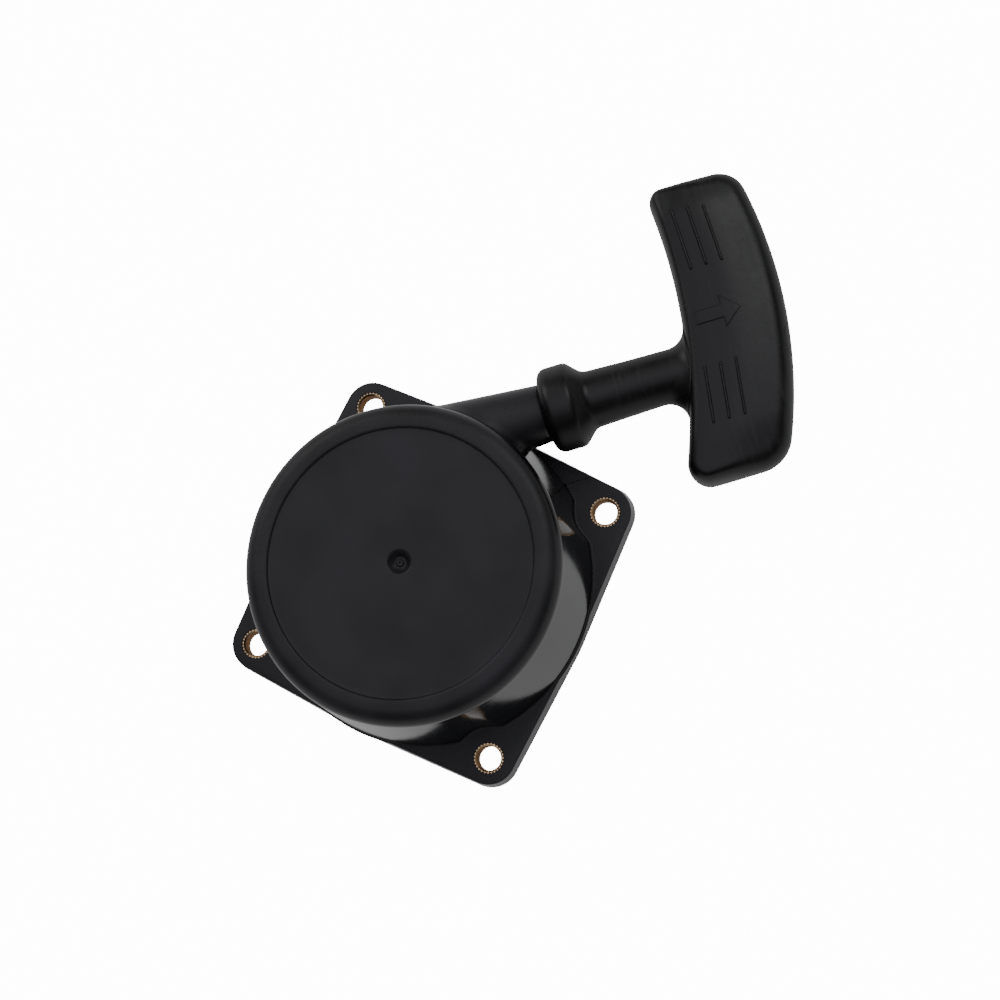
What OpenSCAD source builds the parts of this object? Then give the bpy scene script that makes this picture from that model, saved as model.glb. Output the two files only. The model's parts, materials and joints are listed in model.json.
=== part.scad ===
// Recoil starter for a small engine. Lengths in mm.
// Origin: centre of the mounting face on the starter axis. +Z points up through the closed
// end of the cup. The flange sides lie along X and Y.

/* [Mounting flange] */
// spacing of the mounting holes in both directions
hole_pitch = 66; // [65:0.5:68]
// radius of the hole through each brass insert
hole_r = 2.925; // [2.7:0.025:3.1]
// outer radius of each brass insert
insert_r = 3.8; // [3.6:0.1:4.2]
// thickness of the flange
flange_t = 4.5; // [4:0.1:5.5]
// radius of the flange corners round the holes
corner_r = 6.95; // [6.8:0.05:7.8]
// radius that the flange sides bow out to
flange_r = 41.4; // [41.2:0.1:42.2]

/* [Cup] */
// height of the cup over the mounting face
cup_h = 34.9; // [34.5:0.1:36]
// outer radius of the wall at the flange
wall_r0 = 40.9; // [40.5:0.1:41.3]
// outer radius of the wall under the rim
wall_r1 = 38.15; // [37.8:0.05:38.6]
// radius of the rounded rim
rim_r = 4.2; // [3.5:0.1:4.6]
// radius of the recessed top disc
disc_r = 31.9; // [31:0.1:33]
// depth of the recessed top disc
disc_d = 0.6; // [0.4:0.1:0.8]
// radius of the screw clearance scallops in the wall
scallop_r = 7.7; // [7.4:0.1:8]

/* [Rope path] */
// direction of the pull, degrees from the X axis
pull_yaw = 40.25; // [39:0.25:42]
// distance of the rope axis from the starter axis
rope_off = 28.15; // [27.9:0.05:28.4]
// height of the rope axis over the mounting face
rope_z = 19.5; // [19.3:0.1:19.7]
// radius of the rope
rope_r = 1.6; // [1.4:0.1:1.6]
// outer radius of the rope tube at its free end
tube_r = 7; // [6.8:0.1:7.2]

/* [Handle] */
// largest radius of the collar that cups the rope tube
collar_r = 10.4; // [10:0.1:10.8]
// radius of the stem
stem_r = 6.95; // [6.7:0.05:7.2]
// thickness of the grip bar
grip_t = 15.4; // [14.4:0.2:16]
// rounding of the grip edges
grip_e = 4.6; // [4:0.2:5]
// long reach of the grip bar from the rope axis
grip_long = 44.4; // [44:0.2:46]
// short reach of the grip bar from the rope axis
grip_short = 28.4; // [27.6:0.2:29]

/* [Drive] */
// distance of the pawl pivots from the starter axis
pivot_r = 14.5; // [14.3:0.1:14.7]
// radius of the reel flanges
reel_r = 33.4; // [32.5:0.1:33.8]
// thickness of the recoil spring strip
strip_t = 0.45; // [0.35:0.05:0.5]

/* [Hidden] */
$fn = 96;
black = [0.09, 0.09, 0.095];
brass = [0.78, 0.6, 0.3];
steel = [0.68, 0.69, 0.71];
half = hole_pitch / 2;
hole_d = half * sqrt(2);
corners = [[half, half], [-half, half], [-half, -half], [half, -half]];
cav_r0 = 36.3;
cav_r1 = 35.6;
well_r = 31.2;
ceil_z = 31.3;
plate_z = 24.6;
post_z = 6.3;
boss_r = 33.7;
boss_yaws = [75, 195, 315];
tube_end = 41;

// points along an arc from angle a to angle b in n steps
function arc(c, r, a, b, n) =
  [for (i = [0:n]) c + r * [cos(a + (b - a) * i / n), sin(a + (b - a) * i / n)]];

// puts the rope axis along X, with the point nearest the starter axis at the origin
module along_rope() {
  rotate([0, 0, pull_yaw]) translate([0, rope_off, rope_z]) children();
}

// turns a profile of [distance along the rope, radius] round the rope axis
module rope_turned(profile) {
  rotate([0, 90, 0]) rotate_extrude() polygon([for (p = profile) [p[1], p[0]]]);
}

// ring between two radii from z0 to z1
module ring(ro, ri, z0, z1) {
  difference() {
    translate([0, 0, z0]) cylinder(r = ro, h = z1 - z0);
    translate([0, 0, z0 - 1]) cylinder(r = ri, h = z1 - z0 + 2);
  }
}

// ---------- housing ----------
function flange_swing() = acos((flange_r - corner_r) / hole_d);
function flange_outline() = [for (k = [0:3]) each concat(
  arc([0, 0], flange_r, 90 * k - 45 + flange_swing(), 90 * k + 45 - flange_swing(), 2),
  arc(corners[k], corner_r, 90 * k + 45 - flange_swing(), 90 * k + 45 + flange_swing(), 12))];

module cup_solid() {
  top = concat([[0, 0], [wall_r0 + 0.9, 0], [wall_r0 + 0.9, flange_t - 0.2]],
    [[wall_r0 + 0.25, flange_t + 0.35], [wall_r0, flange_t + 1]],
    arc([wall_r1 - rim_r, cup_h - rim_r], rim_r, 0, 78, 7),
    [[disc_r + 0.9, cup_h], [disc_r + 0.15, cup_h - 0.15], [disc_r, cup_h - disc_d]],
    [[2.9, cup_h - disc_d], [2.4, cup_h - disc_d - 0.9], [1.1, cup_h - disc_d - 1.4]],
    [[1.1, cup_h - disc_d - 0.9], [0.75, cup_h - disc_d - 0.8], [0, cup_h - disc_d - 0.8]]);
  rotate_extrude() polygon(top);
}

module scallop(p) {
  a = atan2(p[1], p[0]) + 180;
  back = [for (t = [110, -110]) scallop_r * 1.3 * [cos(a + t), sin(a + t)]];
  translate([p[0], p[1], 2]) linear_extrude(height = cup_h - 5.6)
    polygon(concat(arc([0, 0], scallop_r, a - 85, a + 85, 17), back));
}

module tube_solid() {
  web = [[20, 1.1], [28.9, 1.1], [33.6, 8.7], [38, 13.2], [38, rope_z], [20, rope_z]];
  along_rope()
    rope_turned([[17, 0], [17, 9], [tube_end - 0.6, tube_r], [tube_end, tube_r - 0.6], [tube_end, 0]]);
  rotate([0, 0, pull_yaw]) translate([0, rope_off + 2.2, 0]) rotate([90, 0, 0])
    linear_extrude(height = 4.4) polygon(web);
}

module plate_boss(a) {
  rotate([0, 0, a]) translate([boss_r, 0, plate_z + 1]) cylinder(r = 2.9, h = ceil_z - plate_z - 0.5);
}

module cavity() {
  rotate_extrude() polygon([[0, -1], [cav_r0, -1], [cav_r0, 0], [cav_r1, ceil_z - 1.2],
    [cav_r1 - 1.2, ceil_z], [0, ceil_z]]);
}

module posts() {
  difference() {
    union() {
      translate([0, 0, post_z]) cylinder(r = 5.5, h = ceil_z - post_z + 0.5);
      translate([0, 0, ceil_z - 0.5]) cylinder(r = 8.4, h = 1);
    }
    translate([0, 0, post_z - 1]) cylinder(r = 4, h = 15);
  }
  difference() {
    union() {
      ring(32.4, well_r - 1, plate_z + 0.6, ceil_z + 0.5);
      for (a = boss_yaws) plate_boss(a);
    }
    translate([0, 0, plate_z - 1]) cylinder(r = well_r, h = ceil_z - plate_z + 1);
    for (a = boss_yaws)
      rotate([0, 0, a]) translate([boss_r, 0, plate_z]) cylinder(r = 1.1, h = 6.2);
    rotate([0, 0, 15]) translate([30.6, -1.2, plate_z]) cube([1.9, 2.4, 6.5]);
  }
}

module shell() {
  linear_extrude(height = flange_t) polygon(flange_outline());
  difference() {
    cup_solid();
    for (p = corners) scallop(p);
  }
}

module housing() {
  color(black) {
    difference() {
      union() {
        shell();
        tube_solid();
      }
      cavity();
      for (p = corners)
        translate([p[0], p[1], -1]) cylinder(r = insert_r, h = flange_t + 2);
      along_rope()
        rope_turned([[15, 0], [15, 4.6], [29, 3.6], [tube_end + 1, 3.6], [tube_end + 1, 0]]);
    }
    posts();
  }
}

// ---------- fixed metal parts ----------
module insert(k) {
  p = corners[k];
  color(brass) translate([p[0], p[1], 0]) difference() {
    cylinder(r = insert_r, h = flange_t - 0.05);
    translate([0, 0, -1]) cylinder(r = hole_r, h = flange_t + 2);
    translate([0, 0, flange_t - 0.45]) cylinder(r1 = hole_r - 0.1, r2 = hole_r + 0.5, h = 0.5);
  }
}
module insert_1() { insert(0); }
module insert_2() { insert(1); }
module insert_3() { insert(2); }
module insert_4() { insert(3); }

module post_insert() {
  color(brass) ring(4, 2.98, post_z, post_z + 13.5);
}

module rope_bushing() {
  color(steel) along_rope() rotate([0, 90, 0]) rotate_extrude()
    polygon([[2.9, 29.5], [3.6, 29.5], [3.6, tube_end], [5, tube_end], [5, tube_end + 0.5],
      [4.7, tube_end + 0.8], [3, tube_end + 0.8], [2.4, tube_end + 0.3],
      [2.2, tube_end - 0.6], [2.2, 30.6]]);
}

// radius of the strip after a fraction s of its length, from the hub out to the well wall
function coil_r(s) = s < 0.25 ? 9.5 + 11.5 * s / 0.25 : 21 + 9.6 * (s - 0.25) / 0.75;
strip_n = 270;
strip_turns = 13.5;
strip_a0 = 15 - 360 * strip_turns;
function strip_pt(i, w) = let(s = i / strip_n, a = strip_a0 + 360 * strip_turns * s)
  (coil_r(s) + w) * [cos(a), sin(a)];

module recoil_spring() {
  pts = concat(
    [[7.9 * cos(strip_a0 - 1.7), 7.9 * sin(strip_a0 - 1.7)]],
    [for (i = [0:strip_n]) strip_pt(i, -strip_t / 2)],
    [[32.2 * cos(15.4), 32.2 * sin(15.4)], [32.2 * cos(14.6), 32.2 * sin(14.6)]],
    [for (i = [strip_n:-1:0]) strip_pt(i - 0.05, strip_t / 2)],
    [[7.9 * cos(strip_a0 - 5), 7.9 * sin(strip_a0 - 5)]]);
  color([0.3, 0.34, 0.42]) translate([0, 0, plate_z + 1]) linear_extrude(height = 5.4) polygon(pts);
}

module spring_plate() {
  color(steel) difference() {
    union() {
      ring(32.6, 12, plate_z, plate_z + 0.6);
      for (a = boss_yaws) rotate([0, 0, a]) translate([0, 0, plate_z]) {
        translate([33.1, 0, 0]) cylinder(r = 2.3, h = 0.6);
        translate([30, -2.3, 0]) cube([3.1, 4.6, 0.6]);
      }
    }
    for (a = boss_yaws)
      rotate([0, 0, a]) translate([boss_r, 0, plate_z - 1]) cylinder(r = 1.1, h = 3);
    for (a = [0:60:300])
      rotate([0, 0, a + 15]) translate([22, 0, plate_z - 1]) cylinder(r = 4, h = 3);
  }
}

module plate_screw(a) {
  color(steel) rotate([0, 0, a]) translate([boss_r, 0, 0]) {
    translate([0, 0, plate_z - 0.8]) difference() {
      cylinder(r1 = 1.4, r2 = 1.65, h = 0.8);
      translate([-0.25, -1.2, -0.5]) cube([0.5, 2.4, 0.9]);
      translate([-1.2, -0.25, -0.5]) cube([2.4, 0.5, 0.9]);
    }
    translate([0, 0, plate_z - 0.2]) cylinder(r = 1.05, h = 5.6);
  }
}
module plate_screw_1() { plate_screw(boss_yaws[0]); }
module plate_screw_2() { plate_screw(boss_yaws[1]); }
module plate_screw_3() { plate_screw(boss_yaws[2]); }

module thrust_washer() {
  color(steel) ring(12.6, 3.1, post_z - 1, post_z);
}

module friction_spring() {
  color(steel) ring(12.3, 10.5, post_z + 0.05, post_z + 0.85);
}

module centre_screw() {
  color(steel) difference() {
    union() {
      rotate_extrude() polygon([[0, 2.1], [4.4, 2.1], [5, 2.6], [5.2, 3.3], [5.2, post_z - 1.6],
        [7.2, post_z - 1.6], [7.2, post_z - 1], [0, post_z - 1]]);
      translate([0, 0, post_z - 1.2]) cylinder(r = 2.9, h = 14.6);
    }
    translate([0, 0, 1]) cylinder(r = 2.9, h = 2.9, $fn = 6);
  }
}

// ---------- reel ----------
groove_0 = rope_z - 3.3;
groove_1 = rope_z + 3.3;

module reel() {
  // the upper flange is smaller, so that it clears the screws of the spring plate
  top_r = reel_r - 2;
  color([0.15, 0.16, 0.17]) difference() {
    rotate_extrude() polygon([[0, post_z + 0.3], [9.8, post_z + 0.3], [9.8, 9.1], [19, 9.1],
      [19, 14.5], [reel_r, 14.7], [reel_r, groove_0 - 0.3], [reel_r - 0.6, groove_0],
      [18.2, groove_0], [18.2, groove_1], [top_r - 0.6, groove_1], [top_r, groove_1 + 0.3],
      [top_r, groove_1 + 1.4], [9, groove_1 + 1.4], [9, 30.4], [0, 30.4]]);
    cylinder(r = 6.8, h = 40);
    for (k = [0, 1]) rotate([0, 0, 180 * k]) {
      linear_extrude(height = 14.5) polygon(pawl_bay());
      translate([pivot_r, 0, 0]) cylinder(r = 1.98, h = 21);
    }
    rotate([0, 0, strip_a0 - 3]) translate([7.5, -0.6, 25]) cube([3, 1.2, 6]);
    for (a = [30:60:330])
      rotate([0, 0, a + 25]) translate([26, 0, 10]) cylinder(r = 3.2, h = 6.5);
    rotate([0, 0, 100]) translate([16, 0, rope_z]) rotate([0, 90, 0]) cylinder(r = 2, h = 4);
    rotate([0, 0, 100]) translate([14, 0, 12]) cylinder(r = 3, h = rope_z - 12 + 2.6);
  }
}

module reel_bushing() {
  color([0.66, 0.5, 0.28]) ring(6.8, 5.56, post_z + 0.35, 30.3);
}

module rope_turn(r, dz) {
  translate([0, 0, rope_z + dz]) rotate_extrude() translate([r, 0]) circle(r = rope_r, $fn = 12);
}

module rope_coil() {
  stub_r = 16.5;
  color([0.12, 0.12, 0.13]) {
    rope_turn(rope_off, 0);
    rope_turn(rope_off - 5.4, 0);
    for (s = [-1, 1]) {
      rope_turn(rope_off - 2.7, s * 1.65);
      rope_turn(rope_off - 8.1, s * 1.65);
    }
    rotate([0, 0, 100]) translate([stub_r, 0, rope_z]) rotate([0, 90, 0])
      cylinder(r = rope_r, h = rope_off - 8.1 - stub_r);
  }
}

module coil_knot() {
  color([0.12, 0.12, 0.13]) rotate([0, 0, 100]) translate([14, 0, rope_z]) sphere(r = 2.4, $fn = 24);
}

// ---------- pawls and friction plate ----------
cam_arm = [2, -8];
pawl_swing = 30;
plate_swing = 35;
function turn(p, a) = [p[0] * cos(a) - p[1] * sin(a), p[0] * sin(a) + p[1] * cos(a)];

// outline of a pawl about its pivot
function pawl_outline() = concat(arc([0, 0], 4, 200, 0, 12), [[4.6, -5], [6.6, -12],
  [6.9, -15.6], [6.3, -16.4], [2.6, -16.4], [1.2, -14.4], [0.2, -10], [-1.9, -6]]);

// pocket in the reel boss that lets the pawl swing
function pawl_bay() = [[9.95, 5.4], [pivot_r + 1, 5.6], [30, 5.6], [40, -4], [40, -20],
  [8, -20], [9.95, -5]];

module pawl_pin(k) {
  color(steel) rotate([0, 0, 180 * k]) translate([pivot_r, 0, 9]) cylinder(r = 1.98, h = 11.5);
}
module pawl_pin_1() { pawl_pin(0); }
module pawl_pin_2() { pawl_pin(1); }

module pawl(k) {
  color([0.5, 0.51, 0.53]) rotate([0, 0, 180 * k]) translate([pivot_r, 0, 0]) difference() {
    union() {
      translate([0, 0, 9.4]) linear_extrude(height = 4.8) polygon(pawl_outline());
      translate([cam_arm[0], cam_arm[1], 7.5]) cylinder(r = 1.4, h = 3);
    }
    translate([0, 0, 5]) cylinder(r = 2.04, h = 12);
  }
}
module pawl_1() { pawl(0); }
module pawl_2() { pawl(1); }

// path of the cam peg seen from the friction plate, a fraction s through the swing
function peg(s) = turn([pivot_r, 0] + turn(cam_arm, pawl_swing * s), -plate_swing * s);

module friction_plate() {
  color(steel) difference() {
    ring(24.6, 9.87, 7.5, 8.8);
    for (k = [0, 1]) rotate([0, 0, 180 * k]) {
      for (i = [0:12])
        translate(concat(peg(i / 12), [6])) cylinder(r = 1.65, h = 5, $fn = 24);
      linear_extrude(height = 12) polygon(concat(
        [for (i = [-1:13]) peg(min(max(i, 0), 12) / 12)],
        [for (i = [13:-1:-1]) peg(min(max(i, 0), 12) / 12) * 1.05]));
    }
    for (k = [0, 1]) rotate([0, 0, 180 * k + 75]) translate([17.5, 0, 6]) cylinder(r = 4.2, h = 5);
  }
}

// ---------- rope and handle ----------
knot_u = 89.2;

module rope_run() {
  color([0.12, 0.12, 0.13]) along_rope()
    rope_turned([[14.2, 0], [14.2, rope_r], [knot_u, rope_r], [knot_u, 0]]);
}

module knot_washer() {
  color(steel) along_rope()
    rope_turned([[knot_u - 1.15, 1.9], [knot_u - 1.15, 4.6], [knot_u, 4.6], [knot_u, 1.9]]);
}

module rope_knot() {
  color([0.12, 0.12, 0.13]) along_rope() {
    translate([knot_u + 3.05, 0, 0]) sphere(r = 3, $fn = 24);
    translate([knot_u + 4.4, 1, 0.4]) sphere(r = 2.6, $fn = 24);
    translate([knot_u + 5.8, -0.6, -0.3]) sphere(r = 2, $fn = 24);
  }
}

in_c = [-65.7, 26.2];
in_r = 143.9;
out_c = [-10.3, 18.1];
out_r = 112.7;
// circle centres of the four rounded corners and the two stem fillets
function out_at(v, r) = [out_c[0] + sqrt(pow(out_r - r, 2) - pow(v - out_c[1], 2)), v];
function in_at(v, r) = [in_c[0] + sqrt(pow(in_r + r, 2) - pow(v - in_c[1], 2)), v];
function dir(a, b) = atan2(b[1] - a[1], b[0] - a[0]);
root_w = 6.3;
function grip_outline(d) = let(
  c1 = out_at(grip_long - 6.6, 6.6), c2 = in_at(grip_long - 3.6, 3.6),
  c3 = in_at(-grip_short + 5, 5), c4 = out_at(-grip_short + 9, 9),
  f1 = in_at(root_w + 5, -5), f2 = in_at(-root_w - 5, -5))
  concat(
    arc(out_c, out_r - d, dir(out_c, c4), dir(out_c, c1), 12),
    arc(c1, 6.6 - d, dir(out_c, c1) + 8, 90, 5),
    arc(c2, max(3.6 - d, 0.2), 90, 180 + dir(in_c, c2) - 6, 4),
    arc(in_c, in_r + d, dir(in_c, c2), dir(in_c, f1), 6),
    arc(f1, 5 + d, dir(in_c, f1) - 8, -90, 5),
    [[67.5, root_w - d], [67, root_w - d]],
    [[67, -root_w + d]],
    arc(f2, 5 + d, 90, dir(in_c, f2) + 8, 5),
    arc(in_c, in_r + d, dir(in_c, f2), dir(in_c, c3), 3),
    arc(c3, 5 - d, 180 + dir(in_c, c3) + 6, 270, 5),
    arc(c4, 9 - d, 270, 360 + dir(out_c, c4) - 6, 6));

module grip_bar() {
  flat = grip_t / 2 - grip_e;
  for (a = [0, 20, 40, 60, 80]) translate([0, 0, -flat - grip_e * sin(a + 10)])
    linear_extrude(height = 2 * (flat + grip_e * sin(a + 10))) polygon(grip_outline(grip_e * (1 - cos(a))));
}

// raised grip ribs and a plain arrow that points along the pull
module grip_marks() {
  arrow = [[81, 8], [87.5, 8], [87.5, 5.6], [92, 9.6], [87.5, 13.6], [87.5, 11.2], [81, 11.2]];
  translate([0, 0, grip_t / 2 - 1]) {
    for (k = [0:2]) {
      translate([82.4 + 3.75 * k, 21.7, 0]) cube([0.8, 15.2 - 0.6 * k, 1.35]);
      translate([78.2 + 3.75 * k, -15.5, 0]) rotate([0, 0, -6]) cube([0.8, 13.5, 1.35]);
    }
    linear_extrude(height = 1.35) polygon(arrow);
  }
}

module handle() {
  stem = [[40.6, 0], [40.6, collar_r - 1.2], [40.95, collar_r - 0.35], [41.8, collar_r],
    [47.6, collar_r - 0.05], [48.5, collar_r - 0.4], [49.1, collar_r - 1.2], [49.9, 8.2],
    [51, 7.3], [52.4, stem_r], [70, stem_r - 0.5], [74, stem_r - 0.5], [78, 0]];
  way = [[39, 0], [39, 7.9], [41.6, 7.6], [42.4, 7.2], [42.4, 2.3], [44, 2],
    [knot_u - 1.2, 2], [knot_u - 1.2, 4.9], [104, 4.9], [104, 0]];
  color(black) along_rope() difference() {
    union() {
      rope_turned(stem);
      grip_bar();
      grip_marks();
    }
    rope_turned(way);
  }
}

module handle_cap() {
  color(black) along_rope() rope_turned([[97, 0], [97, 4.85], [98.7, 4.85], [99.2, 4.4], [99.2, 0]]);
}

housing();
insert_1();
insert_2();
insert_3();
insert_4();
post_insert();
rope_bushing();
recoil_spring();
spring_plate();
plate_screw_1();
plate_screw_2();
plate_screw_3();
thrust_washer();
friction_spring();
centre_screw();
reel();
reel_bushing();
rope_coil();
coil_knot();
pawl_pin_1();
pawl_pin_2();
friction_plate();
pawl_1();
pawl_2();
rope_run();
rope_knot();
knot_washer();
handle();
handle_cap();
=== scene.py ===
# %% [markdown]
# A recoil starter turns a small engine over by hand. A moulded cup bolts to the crankcase,
# a sprung reel of rope turns inside it, and a curved T-grip hangs on the rope's end.
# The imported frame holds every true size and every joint, so it is loaded first and is never
# changed. What follows only adds finer skins and finishes that ride on its bodies.

# %% Load the frame
import json
import math

import bmesh
import bpy
import numpy as np
from mathutils import Matrix, Vector
from mathutils.geometry import delaunay_2d_cdt


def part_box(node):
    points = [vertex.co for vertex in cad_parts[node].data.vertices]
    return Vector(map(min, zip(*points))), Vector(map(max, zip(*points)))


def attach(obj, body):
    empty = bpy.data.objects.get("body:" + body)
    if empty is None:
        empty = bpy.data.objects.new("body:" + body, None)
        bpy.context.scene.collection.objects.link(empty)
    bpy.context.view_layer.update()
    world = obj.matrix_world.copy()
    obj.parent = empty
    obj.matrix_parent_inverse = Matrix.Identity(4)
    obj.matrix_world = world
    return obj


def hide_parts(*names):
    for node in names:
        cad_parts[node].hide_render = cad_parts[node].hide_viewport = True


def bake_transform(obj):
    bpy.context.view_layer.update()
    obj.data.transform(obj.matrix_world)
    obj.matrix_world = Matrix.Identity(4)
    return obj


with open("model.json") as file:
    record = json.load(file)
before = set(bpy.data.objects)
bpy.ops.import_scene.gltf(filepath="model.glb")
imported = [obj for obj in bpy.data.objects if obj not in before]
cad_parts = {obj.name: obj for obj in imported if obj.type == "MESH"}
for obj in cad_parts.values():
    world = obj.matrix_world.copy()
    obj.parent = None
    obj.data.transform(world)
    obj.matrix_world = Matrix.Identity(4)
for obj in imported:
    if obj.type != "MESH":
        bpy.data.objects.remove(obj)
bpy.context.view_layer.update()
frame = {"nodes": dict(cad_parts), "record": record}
nodes = frame["nodes"]
joints = {j["name"]: j for j in frame["record"]["behaviour"]["joints"]}
MM = 0.001

# %% [markdown]
# Two frames of reference are enough for the whole object. The starter axis is Z, and the rope
# axis runs beside it. Both are read from the joints, so that nothing has to be fitted by eye.

# %% Rope axis
pull = Vector(joints["rope_pull"]["axis"]).normalized()
swivel = Vector(joints["handle_swivel"]["pos_m"]) / MM
left = Vector((-pull.y, pull.x, 0))
rope_off = swivel.dot(left)
rope_z = swivel.z
along_rope = Matrix((
    (pull.x, left.x, 0, left.x * rope_off),
    (pull.y, left.y, 0, left.y * rope_off),
    (0, 0, 1, rope_z),
    (0, 0, 0, 1)))
print("rope axis is", round(rope_off, 2), "mm beside the starter axis and", rope_z, "mm up")

# %% [markdown]
# The camera and lights come before the pieces, so that each piece can be looked at as it is
# made. The starter lies on its open side and is seen from almost straight above. Black plastic
# shows little but its reflections, so the light tent has three bands: a pale wall low down for
# the sides, a dark band for the shoulders, and a bright top that the flat faces pick up. The
# floor and the backdrop look whiter to the camera than the light they give, as on an
# overexposed white table. Lit honestly that bright, they would wash the black out.

# %% Camera
camera = bpy.data.objects.new("camera", bpy.data.cameras.new("camera"))
bpy.context.collection.objects.link(camera)
cam_place = Vector((129.34, -8.88, 474.2)) * MM
cam_right = Vector((0.8813, 0.4296, -0.1970))
cam_down = Vector((0.4011, -0.9003, -0.1689))
cam_look = cam_right.cross(cam_down)
camera.matrix_world = Matrix.Translation(cam_place) @ Matrix(
    (cam_right, -cam_down, -cam_look)).transposed().to_4x4()
camera.data.sensor_width = 36
camera.data.lens = 70.9
camera.data.clip_start = 0.01
camera.data.clip_end = 20
bpy.context.scene.camera = camera
print("camera looks along", [round(x, 3) for x in cam_look])

# %% Floor, sky and lamps
floor_drop = 0.05 * MM
floor_glow, floor_shine = 14.0, 0.4


def new_material(name):
    material = bpy.data.materials.new(name)
    material.use_nodes = True
    return material, material.node_tree.nodes, material.node_tree.links


def lay_floor():
    mesh = bpy.data.meshes.new("floor")
    s = 3.0
    mesh.from_pydata([(-s, -s, 0), (s, -s, 0), (s, s, 0), (-s, s, 0)], [], [(0, 1, 2, 3)])
    floor = bpy.data.objects.new("floor", mesh)
    floor.location.z = -floor_drop
    bpy.context.collection.objects.link(floor)
    material, n, links = new_material("pale_floor")
    skin = n["Principled BSDF"]
    skin.inputs["Base Color"].default_value = (0.4, 0.4, 0.4, 1)
    skin.inputs["Roughness"].default_value = 0.9
    skin.inputs["Specular IOR Level"].default_value = 0.1
    skin.inputs["Emission Color"].default_value = (1, 1, 1, 1)
    ray = n.new("ShaderNodeLightPath")
    glow = n.new("ShaderNodeMath")
    glow.operation = "MULTIPLY_ADD"
    glow.inputs[1].default_value = floor_glow
    glow.inputs[2].default_value = floor_shine
    links.new(ray.outputs["Is Camera Ray"], glow.inputs[0])
    links.new(glow.outputs[0], skin.inputs["Emission Strength"])
    mesh.materials.append(material)


def light_tent():
    """A tent with a pale wall low down, a dark band above it and a bright top."""
    world = bpy.data.worlds.new("tent")
    bpy.context.scene.world = world
    world.use_nodes = True
    n, links = world.node_tree.nodes, world.node_tree.links
    where = n.new("ShaderNodeTexCoord")
    split = n.new("ShaderNodeSeparateXYZ")
    ramp = n.new("ShaderNodeValToRGB")
    stops = ramp.color_ramp.elements
    stops[0].position, stops[0].color = 0.0, (0.7, 0.7, 0.71, 1)
    stops[1].position, stops[1].color = 1.0, (1.0, 0.98, 1.1, 1)
    for height, shade_of_grey in ((0.13, 0.6), (0.27, 0.06), (0.5, 0.035), (0.82, 0.12)):
        stops.new(height).color = (shade_of_grey, shade_of_grey, shade_of_grey * 1.04, 1)
    backdrop = n.new("ShaderNodeMix")
    backdrop.data_type = "RGBA"
    backdrop.inputs[7].default_value = (floor_glow, floor_glow, floor_glow, 1)
    links.new(where.outputs["Generated"], split.inputs[0])
    links.new(split.outputs["Z"], ramp.inputs[0])
    links.new(ramp.outputs[0], backdrop.inputs[6])
    links.new(n.new("ShaderNodeLightPath").outputs["Is Camera Ray"], backdrop.inputs[0])
    links.new(backdrop.outputs[2], n["Background"].inputs["Color"])
    n["Background"].inputs["Strength"].default_value = 1.0


def hang_softbox(name, place, size, power):
    lamp = bpy.data.lights.new(name, "AREA")
    lamp.shape = "RECTANGLE"
    lamp.size, lamp.size_y = size
    lamp.energy = power
    box = bpy.data.objects.new(name, lamp)
    box.location = place
    box.rotation_mode = "QUATERNION"
    box.rotation_quaternion = Vector(place).to_track_quat("Z", "Y")
    bpy.context.collection.objects.link(box)


lay_floor()
light_tent()
hang_softbox("softbox_overhead", (0.15, 0.75, 0.9), (0.5, 0.5), 2.2)
hang_softbox("softbox_left", (-0.85, 0.25, 0.7), (0.6, 0.6), 2.5)

# %% [markdown]
# Nearly every piece here is turned, extruded or moulded, so a few small helpers do most of the
# work. One makes a mesh from points in millimetres, one turns a profile round an axis, one
# runs a cutting or joining operation, and one marks the sharp edges for smooth shading.


# %% Mesh helpers
def piece_of(name, points, faces):
    mesh = bpy.data.meshes.new(name)
    mesh.from_pydata([Vector(p) * MM for p in points], [], faces)
    mesh.validate()
    b = bmesh.new()
    b.from_mesh(mesh)
    bmesh.ops.remove_doubles(b, verts=b.verts, dist=1e-7)
    bmesh.ops.recalc_face_normals(b, faces=b.faces)
    b.to_mesh(mesh)
    b.free()
    piece = bpy.data.objects.new(name, mesh)
    bpy.context.collection.objects.link(piece)
    return piece


def lofted(rings, wrap=False):
    """Points and faces of a skin over rings of points, with flat ends unless it wraps round."""
    n, count = len(rings[0]), len(rings)
    points = [p for ring in rings for p in ring]
    faces = []
    for i in range(count if wrap else count - 1):
        a, b = i * n, (i + 1) % count * n
        faces += [(a + k, a + (k + 1) % n, b + (k + 1) % n, b + k) for k in range(n)]
    if not wrap:
        faces += [tuple(range(n)), tuple(range((count - 1) * n, count * n))]
    return points, faces


def turned(profile, steps=96):
    """A solid from a profile of [distance along the axis, radius] turned round X."""
    turns = [2 * math.pi * k / steps + 0.013 for k in range(steps)]
    return lofted([[(along, r * math.cos(a), r * math.sin(a)) for a in turns] for along, r in profile])


def placed(points, matrix):
    return [matrix @ Vector(p) for p in points]


def apply_modifiers(piece):
    bpy.context.view_layer.update()
    graph = bpy.context.evaluated_depsgraph_get()
    mesh = bpy.data.meshes.new_from_object(piece.evaluated_get(graph))
    piece.modifiers.clear()
    piece.data = mesh


def cut_or_join(piece, other, operation):
    step = piece.modifiers.new(operation.lower(), "BOOLEAN")
    step.operation = operation
    step.solver = "EXACT"
    step.object = other
    apply_modifiers(piece)
    bpy.data.objects.remove(other)


def shade(piece, degrees=35):
    """Smooth shading, with edges sharper than the angle kept crisp."""
    b = bmesh.new()
    b.from_mesh(piece.data)
    for face in b.faces:
        face.smooth = True
    limit = math.radians(degrees)
    for edge in b.edges:
        edge.smooth = len(edge.link_faces) == 2 and edge.calc_face_angle(0) < limit
    b.to_mesh(piece.data)
    b.free()


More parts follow.
